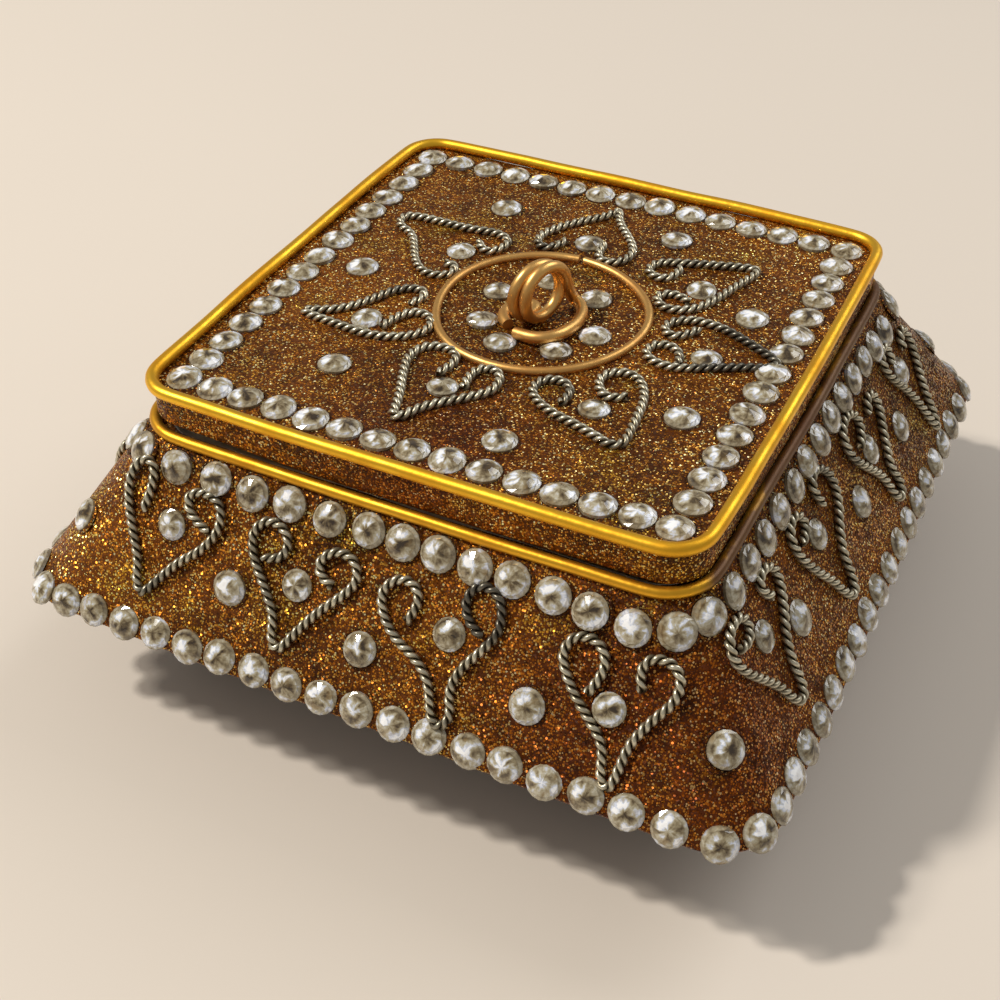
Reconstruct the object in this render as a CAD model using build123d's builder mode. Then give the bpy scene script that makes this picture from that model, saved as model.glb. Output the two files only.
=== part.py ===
from build123d import *
import os
from math import atan2, cos, degrees, hypot, pi, radians, sin, tan

# Flared square trinket box: lac over sheet metal, set with glass stones and
# twisted-wire hearts. Origin: middle of the underside, +Z up, front wall
# towards -Y. All sizes in millimetres.

# body, by level above the table
foot_half = 34.5            # half width of the flat underside
foot_corner = 6.0
edge_height = 15.2          # underside of the flared edge
edge_lip = 0.8              # plain band below the lowest stones
edge_half = 49.2            # half width at the flared edge, the widest place
edge_corner = 9.0
rim_height = 36.2           # top face of the wall
rim_half = 36.0
rim_corner = 6.3
lac_wall = 2.4              # lac on the wall, measured level
tray_lac_wall = 2.0         # lac on the lower tray, measured level
floor_lac = 1.6
sheet = 1.0                 # sheet metal under the lac
mouth_wire_diameter = 1.5
mouth_wire_inset = 0.4      # centre line, in from the rim's outside
wire_bed = 0.15             # how deep the edge wires lie in the lac

# lid
lid_rest_gap = 0.3
lid_corner = 5.0
lid_skirt = 4.05            # height of the lid's glittering side
lid_lac_top = 2.5           # lac over the lid's metal panel
lid_sheet = 1.0
lid_panel_lip = 1.2         # the panel stands out this far past its rim
lid_lac_side = 1.8          # lac on the panel's edge
lid_flange_depth = 5.4      # the rim that drops inside the mouth
lid_flange_clearance = 0.5
lid_wire_diameter = 1.7
lid_wire_inset = 0.1        # centre line, in from the lid's side
lid_wire_corner = 4.6
lid_wire_rise = 0.5         # centre line above the lid's top face

# stones: round glass chatons with eight sides here, flat back pressed in
stone_diameter = 4.3
stone_height = 1.9
stone_seat = 0.4            # depth of the back below the lac's face
stone_taper = 20.0
stone_sides = 8
border_inset = 4.1          # square of stones round the lid, in from its side
border_spacing = 4.43
top_row_down = 2.1305       # rows on the wall, measured down its slope from the rim
bottom_row_up = 2.6         # and up it from the flared edge
row_spacing = 4.65          # about, the whole row is evenly spaced
corner_stone_up = 12.6
field_stones_x = (-19.2, 0.0, 19.2)
field_stone_up = 9.8

# hearts of twisted wire, drawn as one round wire
heart_wire = 1.1
heart_bed = 0.25
wall_heart_x = (-28.8, -9.6, 9.6, 28.8)
wall_heart_up = 5.9         # the tip, up the slope
wall_heart_half = 5.8       # half width, centre line
wall_heart_head = 5.5       # middle of the lobes to the middle of the top row
wall_heart_lobe = 2.25
wall_heart_curl = 1.0
wall_heart_stone_drop = 2.6  # below the middle of the lobes
wall_heart_stone = 3.9
lid_heart_half = 5.2
lid_heart_head = 3.4        # middle of the lobes to the ring
lid_heart_lobe = 1.3
lid_heart_curl = 0.62
lid_heart_wire = 1.0
heart_tip_radius = 0.9
heart_lead = radians(6)     # how much flatter the sides leave the tip
lid_heart_turns = (93.0, 42.0, 1.0, -46.0, -99.0, -152.0, 147.0)
lid_heart_tip_inset = 4.6   # the tip, in from the square of stones
lid_heart_stone_out = 5.1   # out from the ring
lid_heart_stone = 3.9
lid_field_stones = (        # as shares of the square of stones
    (-0.467742, 0.709677), (0.309677, 0.770968), (0.8, 0.322581), (0.787097, -0.412903),
    (0.254839, -0.819355), (-0.535484, -0.658065), (-0.793548, 0.0),
)

# middle of the lid
ring_x = 0.8
ring_y = 0.4
ring_radius = 13.2
ring_wire = 1.0
ring_joint = 3.0            # degrees left open where the ring's ends meet
ring_stone_x = 1.3
ring_stone_y = -0.3
ring_stone_inset = 4.9      # in from the ring
ring_stone_count = 7
ring_stone_turn = 50.0
ring_stone = 4.1

# loop handle: one wire, coiled upright, with a flat foot curl
loop_wire = 1.3
loop_x = 0.6
loop_y = -0.6
loop_turn = -22.0           # the coil's axis, turned from +X
loop_radius = 3.6           # centre line
loop_pitch = 1.8
loop_bend = 1.3             # where the wire turns flat or dives into the lac
loop_foot_radius = 3.3
loop_sink = 1.9             # depth of the wire's ends in the lac

os.makedirs("parts", exist_ok=True)

wall_base = edge_height + edge_lip
wall_slope = atan2(rim_height - wall_base, edge_half - rim_half)
wall_length = hypot(rim_height - wall_base, edge_half - rim_half)
top_row_up = wall_length - top_row_down
wall_heart_length = top_row_up - wall_heart_head - wall_heart_up
wall_heart_stone_up = wall_heart_up + wall_heart_length - wall_heart_stone_drop
mouth_wire_half = rim_half - mouth_wire_inset
mouth_wire_corner = rim_corner - mouth_wire_inset
mouth_half = rim_half - lac_wall - sheet
mouth_corner = rim_corner - (lac_wall + sheet) * 0.6
mouth_wire_z = rim_height + mouth_wire_diameter / 2 - wire_bed
lid_base = mouth_wire_z + mouth_wire_diameter / 2 + lid_rest_gap
lid_top = lid_base + lid_skirt
panel_base = lid_top - lid_lac_top - lid_sheet
lid_wire_z = lid_top + lid_wire_rise
flange_half = mouth_half - lid_flange_clearance
lid_panel_half = flange_half + lid_panel_lip
lid_half = lid_panel_half + lid_lac_side
lid_wire_half = lid_half - lid_wire_inset
border_half = lid_half - border_inset
border_per_side = round(2 * border_half / border_spacing)
lid_heart_tip_reach = border_half - lid_heart_tip_inset
lid_heart_length = lid_heart_tip_reach - ring_radius - lid_heart_head
lid_heart_stone_reach = ring_radius + lid_heart_stone_out
ring_stone_reach = ring_radius - ring_stone_inset


def between(low, high, share):
    return low + (high - low) * share


def tray_size(z):
    """Half width and corner radius of the lower tray's outside at height z."""
    share = z / edge_height
    top = edge_half - lac_wall + tray_lac_wall
    return between(foot_half, top, share), between(foot_corner, edge_corner, share)


def wall_size(z):
    """Half width and corner radius of the flared wall's outside at height z."""
    share = (z - wall_base) / (rim_height - wall_base)
    return between(edge_half, rim_half, share), between(edge_corner, rim_corner, share)


def square(half, corner):
    return RectangleRounded(2 * half, 2 * half, corner)


def frustum(size_at, low, high, inset):
    """The block between two levels, a set distance inside the outer surface."""
    with BuildPart() as block:
        for z in (low, high):
            half, corner = size_at(z)
            with BuildSketch(Plane.XY.offset(z)):
                square(half - inset, corner - inset * 0.6)
        loft(ruled=True)
    return block.part


def edge_band(inset):
    """The plain upright band at the flared edge."""
    with BuildPart() as band:
        with BuildSketch(Plane.XY.offset(edge_height)):
            square(edge_half - inset, edge_corner - inset * 0.6)
        extrude(amount=edge_lip)
    return band.part


def square_wire(half, corner, diameter, z):
    """A closed wire bent round a square."""
    with BuildSketch(Plane.XY.offset(z)) as outline:
        square(half, corner)
    path = outline.sketch.face().outer_wire()
    with BuildPart() as wire:
        with BuildSketch(Plane(path @ 0, z_dir=path % 0)):
            Circle(diameter / 2)
        sweep(path=path)
    return wire.part


def wall_point(side, share, corner_turn, z):
    """A point on the wall's outside: along the flat by share, or round the corner after it."""
    half, corner = wall_size(z)
    flat = half - corner
    if corner_turn is None:
        spot = Vector(share * flat, -half, z)
    else:
        angle = radians(corner_turn - 90)
        spot = Vector(flat + corner * cos(angle), -flat + corner * sin(angle), z)
    return spot.rotate(Axis.Z, 90 * side)


def wall_place(side, share, corner_turn, z):
    """A plane that lies on the wall there: X along the wall, Y up its slope."""
    spot = wall_point(side, share, corner_turn, z)
    up = wall_point(side, share, corner_turn, z + 0.5) - wall_point(side, share, corner_turn, z - 0.5)
    turn = 90 * side + (corner_turn or 0)
    along = Vector(1, 0, 0).rotate(Axis.Z, turn)
    return Plane(spot, x_dir=along, z_dir=along.cross(up))


def height_up(up):
    return wall_base + up * sin(wall_slope)


def place_on_wall(side, x, up):
    """The same by distance: x from the wall's middle, up from its lower edge."""
    half, corner = wall_size(height_up(up))
    return wall_place(side, x / (half - corner), None, height_up(up))


def row_places(side, up):
    """Evenly spaced places on one quarter of a row that runs right round the wall."""
    z = height_up(up)
    half, corner = wall_size(z)
    flat, bend = 2 * (half - corner), corner * pi / 2
    count = round((flat + bend) / row_spacing)
    places = []
    for i in range(count):
        run = (i + 0.5) * (flat + bend) / count
        if run < flat:
            places.append(wall_place(side, 2 * run / flat - 1, None, z))
        else:
            places.append(wall_place(side, None, 90 * (run - flat) / bend, z))
    return places


def set_stones(label, places, diameter):
    """A group of separate stones, each with its flat back sunk at its place."""
    # the stone is as wide as its diameter where it leaves the lac
    back = diameter / 2 + stone_seat * tan(radians(stone_taper))
    with BuildPart() as stones:
        for place in places:
            with BuildSketch(place.offset(-stone_seat)):
                RegularPolygon(back, stone_sides, rotation=180 / stone_sides)
        extrude(amount=stone_height, taper=stone_taper)
    stones.part.label = label
    export_step(stones.part, "parts/" + label + ".step")


def heart_outline(half, length, lobe, curl):
    """One heart's centre line from curl to curl, tip at the origin, lobes towards +Y."""
    tip = heart_tip_radius
    # the sides leave the tip a little flatter than the straight line to the lobes
    lean = atan2(length, half) - heart_lead
    lean = atan2(length - tip * (1 - cos(lean)), half - tip * sin(lean)) - heart_lead
    run_x, run_y = half - tip * sin(lean), length - tip * (1 - cos(lean))
    bow = (run_y * cos(lean) - run_x * sin(lean)) / (1 - sin(lean))
    side_x, side_y = half - bow * (1 - sin(lean)), length - bow * cos(lean)
    foot_x, foot_y = tip * sin(lean), tip * (1 - cos(lean))
    turn = degrees(lean)
    CenterArc((2 * lobe - half - curl, length), curl, 180, 180)
    CenterArc((lobe - half, length), lobe, 0, 180)
    CenterArc((bow - half, length), bow, 180, 90 - turn)
    Line((-side_x, side_y), (-foot_x, foot_y))
    CenterArc((0, tip), tip, 270 - turn, 2 * turn)
    Line((foot_x, foot_y), (side_x, side_y))
    CenterArc((half - bow, length), bow, turn - 90, 90 - turn)
    CenterArc((half - lobe, length), lobe, 0, 180)
    CenterArc((half - 2 * lobe + curl, length), curl, 180, 180)


def set_hearts(label, places, wire, half, length, lobe, curl):
    """A group of separate wire hearts pressed into the lac, tip at each place."""
    with BuildPart() as hearts:
        for place in places:
            with BuildLine(place.offset(wire / 2 - heart_bed)) as outline:
                heart_outline(half, length, lobe, curl)
            path = outline.wire()
            with BuildSketch(Plane(path @ 0, z_dir=path % 0)):
                RegularPolygon(wire / 2, 6)
            sweep(path=path)
    hearts.part.label = label
    export_step(hearts.part, "parts/" + label + ".step")


# lower tray: a formed metal tray in a plain coat of lac
with BuildPart() as tray_lac:
    add(frustum(tray_size, 0, edge_height, 0))
    add(frustum(tray_size, floor_lac, edge_height, tray_lac_wall), mode=Mode.SUBTRACT)
tray_lac.part.label = "tray_lac"
export_step(tray_lac.part, "parts/tray_lac.step")

with BuildPart() as tray_core:
    add(frustum(tray_size, floor_lac, edge_height, tray_lac_wall))
    add(frustum(tray_size, floor_lac + sheet, edge_height, tray_lac_wall + sheet), mode=Mode.SUBTRACT)
tray_core.part.label = "tray_core"
export_step(tray_core.part, "parts/tray_core.step")

# flared wall: glittering lac over a metal collar that stands on the tray
with BuildPart() as wall_lac:
    add(edge_band(0))
    add(frustum(wall_size, wall_base, rim_height, 0))
    add(edge_band(lac_wall), mode=Mode.SUBTRACT)
    add(frustum(wall_size, wall_base, rim_height, lac_wall), mode=Mode.SUBTRACT)
wall_lac.part.label = "wall_lac"
export_step(wall_lac.part, "parts/wall_lac.step")

with BuildPart() as wall_core:
    add(edge_band(lac_wall))
    add(frustum(wall_size, wall_base, rim_height, lac_wall))
    add(edge_band(lac_wall + sheet), mode=Mode.SUBTRACT)
    add(frustum(wall_size, wall_base, rim_height, lac_wall + sheet), mode=Mode.SUBTRACT)
wall_core.part.label = "wall_core"
export_step(wall_core.part, "parts/wall_core.step")

# gilt wire round the mouth
mouth_wire = square_wire(mouth_wire_half, mouth_wire_corner, mouth_wire_diameter, mouth_wire_z)
mouth_wire.label = "mouth_wire"
export_step(mouth_wire, "parts/mouth_wire.step")

# lid: a metal panel with a rim that drops inside the mouth, under a cap of lac
with BuildPart() as lid_core:
    with BuildSketch(Plane.XY.offset(panel_base)):
        square(lid_panel_half, lid_corner - lid_lac_side)
    extrude(amount=lid_sheet)
    with BuildSketch(Plane.XY.offset(panel_base)):
        square(flange_half, mouth_corner - lid_flange_clearance)
        offset(amount=-sheet, mode=Mode.SUBTRACT)
    extrude(amount=-lid_flange_depth)
lid_core.part.label = "lid_core"
export_step(lid_core.part, "parts/lid_core.step")

with BuildPart() as lid_lac:
    with BuildSketch(Plane.XY.offset(lid_base)):
        square(lid_half, lid_corner)
    extrude(amount=lid_skirt)
    with BuildSketch(Plane.XY.offset(lid_base)):
        square(lid_panel_half, lid_corner - lid_lac_side)
    extrude(amount=panel_base + lid_sheet - lid_base, mode=Mode.SUBTRACT)
lid_lac.part.label = "lid_lac"
export_step(lid_lac.part, "parts/lid_lac.step")

lid_edge_wire = square_wire(lid_wire_half, lid_wire_corner, lid_wire_diameter, lid_wire_z)
lid_edge_wire.label = "lid_edge_wire"
export_step(lid_edge_wire, "parts/lid_edge_wire.step")

# ring of wire round the middle of the lid, open where its ends meet at the back
ring_plane = Plane.XY.offset(lid_top + ring_wire / 2 - heart_bed)
with BuildPart() as lid_ring_wire:
    with BuildLine(ring_plane) as ring_line:
        CenterArc((ring_x, ring_y), ring_radius, 90 + ring_joint / 2, 180 - ring_joint / 2)
        CenterArc((ring_x, ring_y), ring_radius, 270, 180 - ring_joint / 2)
    ring_path = ring_line.wire()
    with BuildSketch(Plane(ring_path @ 0, z_dir=ring_path % 0)):
        Circle(ring_wire / 2)
    sweep(path=ring_path)
lid_ring_wire.part.label = "lid_ring_wire"
export_step(lid_ring_wire.part, "parts/lid_ring_wire.step")


def coil_point(along, across, z):
    """A point of the loop handle: along the coil's axis, across it, above the lid."""
    flat = Vector(along, across, 0).rotate(Axis.Z, loop_turn)
    return flat + Vector(loop_x, loop_y, lid_top + z)


# loop handle: up out of the lac, over, under and over again, then down at the
# back and round in a flat curl, and into the lac again
coil_z = loop_radius + loop_wire / 2
step = loop_pitch / 2
reach = hypot(step, 2 * loop_radius) / 2
starts = [(-1.5 + i) * step for i in range(4)]
flat_z = loop_wire / 2
bend = loop_bend
with BuildPart() as lid_loop:
    with BuildLine() as loop_line:
        Line(coil_point(starts[0], -loop_radius, -loop_sink), coil_point(starts[0], -loop_radius, coil_z))
        for i, rise in enumerate((reach, -reach, reach)):
            front = -loop_radius if i % 2 == 0 else loop_radius
            ThreePointArc(
                coil_point(starts[i], front, coil_z),
                coil_point(starts[i] + step / 2, 0, coil_z + rise),
                coil_point(starts[i + 1], -front, coil_z),
            )
        Line(coil_point(starts[3], loop_radius, coil_z), coil_point(starts[3], loop_radius, flat_z + bend))
        middle = bend * (1 - cos(pi / 4))
        ThreePointArc(
            coil_point(starts[3], loop_radius, flat_z + bend),
            coil_point(starts[3] + middle, loop_radius, flat_z + middle),
            coil_point(starts[3] + bend, loop_radius, flat_z),
        )
        foot = starts[3] + bend
        foot_end = loop_radius - 2 * loop_foot_radius
        ThreePointArc(
            coil_point(foot, loop_radius, flat_z),
            coil_point(foot + loop_foot_radius, loop_radius - loop_foot_radius, flat_z),
            coil_point(foot, foot_end, flat_z),
        )
        ThreePointArc(
            coil_point(foot, foot_end, flat_z),
            coil_point(foot - bend + middle, foot_end, flat_z - middle),
            coil_point(foot - bend, foot_end, flat_z - bend),
        )
        Line(coil_point(foot - bend, foot_end, flat_z - bend), coil_point(foot - bend, foot_end, -loop_sink))
    loop_path = loop_line.wire()
    with BuildSketch(Plane(loop_path @ 0, z_dir=loop_path % 0)):
        Circle(loop_wire / 2)
    sweep(path=loop_path)
lid_loop.part.label = "lid_loop"
export_step(lid_loop.part, "parts/lid_loop.step")

# the handle's least gap to itself, between points further apart along the wire than a bend
loop_points = [loop_path @ (i / 400) for i in range(401)]
apart = int(400 * 1.2 * pi * bend / loop_path.length)
loop_gap = min(
    (loop_points[i] - loop_points[j]).length for i in range(401) for j in range(i + apart, 401)
) - loop_wire
print("loop handle: least gap to itself %.2f mm" % loop_gap)
print("loop handle: volume %.2f of %.2f" % (lid_loop.part.volume, pi * loop_wire**2 / 4 * loop_path.length))

# stones and hearts of the four walls
walls = ("front", "right", "back", "left")
for side, wall in enumerate(walls):
    set_stones(wall + "_top_stones", row_places(side, top_row_up), stone_diameter)
    set_stones(wall + "_bottom_stones", row_places(side, bottom_row_up), stone_diameter)
    tips = [place_on_wall(side, x, wall_heart_up) for x in wall_heart_x]
    set_hearts(wall + "_hearts", tips, heart_wire, wall_heart_half, wall_heart_length,
               wall_heart_lobe, wall_heart_curl)
    middles = [place_on_wall(side, x, wall_heart_stone_up) for x in wall_heart_x]
    set_stones(wall + "_heart_stones", middles, wall_heart_stone)
    set_stones(wall + "_field_stones", [place_on_wall(side, x, field_stone_up) for x in field_stones_x],
               stone_diameter)
set_stones("corner_stones", [wall_place(side, None, 45, height_up(corner_stone_up)) for side in range(4)],
           stone_diameter)

# stones and hearts of the lid
def on_lid(x, y, turn=0.0):
    return Plane((x, y, lid_top), x_dir=Vector(1, 0, 0).rotate(Axis.Z, turn))


def round_ring(reach, turn):
    """A place that looks towards the ring's middle, at a reach and angle from it."""
    return on_lid(ring_x + reach * cos(radians(turn)), ring_y + reach * sin(radians(turn)), turn + 90)


border_pitch = 2 * border_half / border_per_side
border = []
for side in range(4):
    for i in range(border_per_side):
        spot = Vector(i * border_pitch - border_half, -border_half, 0).rotate(Axis.Z, 90 * side)
        border.append(on_lid(spot.X, spot.Y, 90 * side))
set_stones("lid_border_stones", border, stone_diameter)
set_hearts("lid_hearts", [round_ring(lid_heart_tip_reach, turn) for turn in lid_heart_turns], lid_heart_wire,
           lid_heart_half, lid_heart_length, lid_heart_lobe, lid_heart_curl)
set_stones("lid_heart_stones", [round_ring(lid_heart_stone_reach, turn) for turn in lid_heart_turns],
           lid_heart_stone)
field_places = [on_lid(x * border_half, y * border_half) for x, y in lid_field_stones]
set_stones("lid_field_stones", field_places, stone_diameter)
ring_places = []
for i in range(ring_stone_count):
    angle = radians(ring_stone_turn + i * 360 / ring_stone_count)
    ring_places.append(on_lid(ring_stone_x + ring_stone_reach * cos(angle),
                              ring_stone_y + ring_stone_reach * sin(angle)))
set_stones("lid_ring_stones", ring_places, ring_stone)
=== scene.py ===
import math
import random
import bmesh
import bpy
from mathutils import Matrix, Vector, kdtree, noise


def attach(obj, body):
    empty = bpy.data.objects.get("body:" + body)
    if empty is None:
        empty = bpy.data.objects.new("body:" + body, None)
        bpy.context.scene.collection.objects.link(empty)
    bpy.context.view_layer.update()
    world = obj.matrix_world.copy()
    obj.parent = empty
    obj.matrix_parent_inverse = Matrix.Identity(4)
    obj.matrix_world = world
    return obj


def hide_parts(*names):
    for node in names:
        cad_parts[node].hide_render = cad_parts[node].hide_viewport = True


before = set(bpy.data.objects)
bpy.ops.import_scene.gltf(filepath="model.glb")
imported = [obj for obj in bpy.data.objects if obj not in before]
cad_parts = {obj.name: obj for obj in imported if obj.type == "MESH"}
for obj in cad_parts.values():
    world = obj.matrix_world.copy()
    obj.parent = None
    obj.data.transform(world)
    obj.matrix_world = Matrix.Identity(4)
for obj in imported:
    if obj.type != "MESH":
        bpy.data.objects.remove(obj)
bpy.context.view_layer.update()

mm = 0.001
dice = random.Random(11)
walls = ("front", "right", "back", "left")


# a socket that can be reckoned with, and the bench that a material is built on
class Feed:
    def __init__(self, bench, socket):
        self.bench, self.socket = bench, socket

    def maths(self, operation, other, swap=False):
        first, second = (other, self) if swap else (self, other)
        return self.bench.put("Math", {"operation": operation}, {0: first, 1: second})

    def __add__(self, other): return self.maths("ADD", other)
    def __radd__(self, other): return self.maths("ADD", other)
    def __sub__(self, other): return self.maths("SUBTRACT", other)
    def __rsub__(self, other): return self.maths("SUBTRACT", other, True)
    def __mul__(self, other): return self.maths("MULTIPLY", other)
    def __rmul__(self, other): return self.maths("MULTIPLY", other)
    def __lt__(self, other): return self.maths("LESS_THAN", other)


class Bench:
    def __init__(self, name):
        self.material = bpy.data.materials.new(name)
        self.material.use_nodes = True
        self.tree = self.material.node_tree
        self.shader = self.tree.nodes["Principled BSDF"]
        self.objectSpace = self.put("TexCoord", {}, {}, "Object")

    def put(self, kind, settings, values, output=0):
        node = self.tree.nodes.new("ShaderNode" + kind)
        for key, value in settings.items():
            if key == "stops":
                elements = node.color_ramp.elements
                while len(elements) < len(value):
                    elements.new(0.5)
                for element, (spot, shade) in zip(elements, value):
                    element.position, element.color = spot, (*shade, 1)
            else:
                setattr(node, key, value)
        for key, value in values.items():
            self.join(value, node.inputs[key])
        return Feed(self, node.outputs[output])

    def join(self, value, socket):
        if isinstance(value, Feed):
            self.tree.links.new(value.socket, socket)
        elif socket.type == "RGBA":
            socket.default_value = (*value, 1)
        else:
            socket.default_value = value

    def blend(self, share, first, second, how="MIX"):
        return self.put("Mix", {"data_type": "RGBA", "blend_type": how}, {0: share, 6: first, 7: second}, 2)

    def grains(self, scale, **more):
        return self.put("TexNoise", {}, {"Vector": self.objectSpace, "Scale": scale, **more})

    def flakes(self, scale, output):
        return self.put("TexVoronoi", {}, {"Vector": self.objectSpace, "Scale": scale}, output)

    def ranged(self, value, low, high, first=0.0, last=1.0):
        return self.put("MapRange", {}, {"Value": value, "From Min": low, "From Max": high,
                                         "To Min": first, "To Max": last})

    def ramp(self, share, stops):
        return self.put("ValToRGB", {"stops": stops}, {"Fac": share})

    def larger(self, first, second):
        return self.put("Math", {"operation": "MAXIMUM"}, {0: first, 1: second})

    def vectors(self, operation, first, second, output=0):
        return self.put("VectorMath", {"operation": operation}, {0: first, 1: second}, output)

    def near(self, spot, full, none, share):
        # a share that falls to nothing between two distances from a spot
        away = self.vectors("DISTANCE", self.objectSpace, spot, "Value")
        return self.ranged(away, full, none, share, 0.0)

    def bumps(self, strength, depth, height):
        return self.put("Bump", {}, {"Strength": strength, "Distance": depth, "Height": height})

    def finish(self, **sockets):
        for key, value in sockets.items():
            self.join(value, self.shader.inputs[key.replace("_", " ")])
        return self.material


glitter = {
    "flake": 4100.0, "size": 0.34, "sizeSpread": 0.30, "cover": 0.94, "shine": 0.6,
    "roughness": 0.50, "smoother": 0.2, "gloss": 0.12, "goldLow": (0.62, 0.2), "goldHigh": (0.78, 0.15),
    "copper": ((0.0, (0.08, 0.020, 0.001)), (0.38, (0.27, 0.080, 0.005)), (0.64, (0.58, 0.20, 0.016)),
               (0.82, (0.92, 0.44, 0.06)), (0.92, (1.0, 0.70, 0.20)), (1.0, (1.0, 0.90, 0.50))),
    "gold": ((0.0, (0.12, 0.05, 0.003)), (0.42, (0.42, 0.21, 0.012)), (0.75, (0.90, 0.56, 0.06)),
             (1.0, (1.0, 0.90, 0.32))),
    "ground": ((0.048, 0.011, 0.001), (0.135, 0.037, 0.003)),
    "redden": (0.54, 0.35, 0.34), "reddenShare": 0.75,
    "drift": 110.0, "patch": 34.0, "clump": 430.0, "clumpDark": 0.52, "clumpLight": 1.32,
    "lump": 700.0, "lumpDepth": 0.0004}


def glitterLac(name, tone, gold, redSpot=(0.036, -0.045, 0.022), redReach=0.030):
    # the first number lightens or darkens it, and for the collars it darkens them as painted shade; gold is
    # the share of gold flakes, and it reddens round one spot
    g, b = glitter, Bench(name)
    flakeTint = b.flakes(g["flake"], "Color")
    shade = b.put("SeparateColor", {}, {"Color": flakeTint}, "Red")
    spread = b.put("SeparateColor", {}, {"Color": flakeTint}, "Green")
    drift = b.grains(g["drift"], Detail=3.0, Roughness=0.65)
    patches = b.grains(g["patch"], Detail=3.0)
    flake = b.flakes(g["flake"], "Distance") < spread * g["sizeSpread"] + g["size"]
    (low, lowGain), (high, highGain) = g["goldLow"], g["goldHigh"]
    golden = b.ranged(drift, low - gold * lowGain, high - gold * highGain)
    colour = b.blend(golden, b.ramp(shade, g["copper"]), b.ramp(shade, g["gold"]))
    colour = b.blend(flake * g["cover"], b.blend(patches, *g["ground"]), colour)
    redness = b.near(redSpot, redReach * 0.35, redReach, g["reddenShare"])
    colour = b.blend(redness, colour, b.blend(1.0, colour, g["redden"], "MULTIPLY"))
    clumps = b.grains(g["clump"], Detail=3.0, Roughness=0.6)
    light = b.ranged(patches * 0.4 + clumps * 0.6, 0.38, 0.60, g["clumpDark"] * tone, g["clumpLight"] * tone)
    grey = b.put("CombineColor", {}, {"Red": light, "Green": light, "Blue": light})
    colour = b.blend(1.0, colour, grey, "MULTIPLY")
    relief = b.bumps(0.5, g["lumpDepth"], b.grains(g["lump"], Detail=3.0) * 0.6 + drift)
    lean = b.vectors("SUBTRACT", flakeTint, (0.5, 0.5, 0.5))      # each flake leans its own way
    normal = b.put("VectorMath", {"operation": "NORMALIZE"}, {0: b.vectors("ADD", relief, lean)})
    roughness = g["roughness"] - flake * g["smoother"]
    return b.finish(Base_Color=colour, Metallic=flake * g["shine"], Roughness=roughness, Normal=normal,
                    Specular_IOR_Level=g["gloss"])


trayLac = {"dark": (0.035, 0.016, 0.010), "light": (0.0735, 0.0336, 0.021), "cloud": 160.0, "speck": 2600.0,
           "speckColour": (0.45, 0.20, 0.07), "grain": 420.0, "grainDepth": 0.0003, "roughness": 0.28}


def plainLac(name):
    t, b = trayLac, Bench(name)
    colour = b.blend(b.grains(t["cloud"], Detail=4.0), t["dark"], t["light"])
    speck = b.flakes(t["speck"], "Distance") < 0.16
    colour = b.blend(speck * 0.5, colour, t["speckColour"])
    bump = b.bumps(0.3, t["grainDepth"], b.grains(t["grain"], Detail=3.0))
    return b.finish(Base_Color=colour, Roughness=t["roughness"], Normal=bump, Coat_Weight=0.3,
                    Coat_Roughness=0.2)


# painted shade on the mouth wire under the lid: how wide its edge is, how it wavers, how much it covers and
# its colour
lidOverhangShade = {"width": 0.0016, "waver": 0.004, "cover": 0.93, "colour": (0.085, 0.028, 0.008)}


def giltWire(name, base, dark, roughness, shadeFrom=1.0):
    # past that X the wire is painted dark red-brown and less metallic: painted shade where the lid hangs over
    # it
    b = Bench(name)
    cloud = b.grains(150.0, Detail=4.0, Roughness=0.6)
    scuff = b.ranged(cloud, 0.38, 0.68)
    along = b.put("SeparateXYZ", {}, {"Vector": b.objectSpace}, "X")
    along = along + cloud * lidOverhangShade["waver"] - lidOverhangShade["waver"] / 2
    shaded = b.ranged(along, shadeFrom, shadeFrom + lidOverhangShade["width"], 0.0, lidOverhangShade["cover"])
    colour = b.blend(shaded, b.blend(scuff, base, dark), lidOverhangShade["colour"])
    bump = b.bumps(0.25, 0.0002, b.grains(700.0, Detail=2.0))
    return b.finish(Base_Color=colour, Metallic=0.95 - shaded * 0.6, Roughness=scuff * 0.14 + roughness,
                    Normal=bump)


silver = {
    "stops": ((0.0, (0.020, 0.012, 0.005)), (0.42, (0.115, 0.088, 0.048)), (0.75, (0.34, 0.295, 0.20)),
              (1.0, (0.68, 0.63, 0.48))),
    "stain": 260.0, "tarnish": (0.05, 0.042, 0.035), "cloud": 115.0, "cloudShare": 0.70,
    # where a heart is nearly black: each spot and its reach, and how dark it is there
    "black": (((0.0135, -0.0397, 0.0320), 0.0055), ((0.0255, 0.0010, 0.0424), 0.0070)), "blackShare": 0.80}


def twistedSilver(name):
    w, b = silver, Bench(name)
    # "hollow" is 0 in the hollows of the twist and 1 on its ridges
    hollow = b.put("Attribute", {"attribute_name": "hollow"}, {}, "Fac")
    share = b.ranged(hollow + b.grains(w["stain"], Detail=3.0) * 0.4 - 0.2, 0.30, 1.0)
    tarnish = b.ranged(b.grains(w["cloud"], Detail=2.0), 0.55, 0.70, 0.0, w["cloudShare"])
    for spot, reach in w["black"]:
        tarnish = b.larger(tarnish, b.near(spot, reach * 0.7, reach, w["blackShare"]))
    colour = b.blend(tarnish, b.ramp(share, w["stops"]), w["tarnish"])
    bump = b.bumps(0.25, 0.0001, b.grains(1500.0))
    return b.finish(Base_Color=colour, Metallic=0.75, Roughness=0.42 - share * 0.10, Normal=bump)


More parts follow.
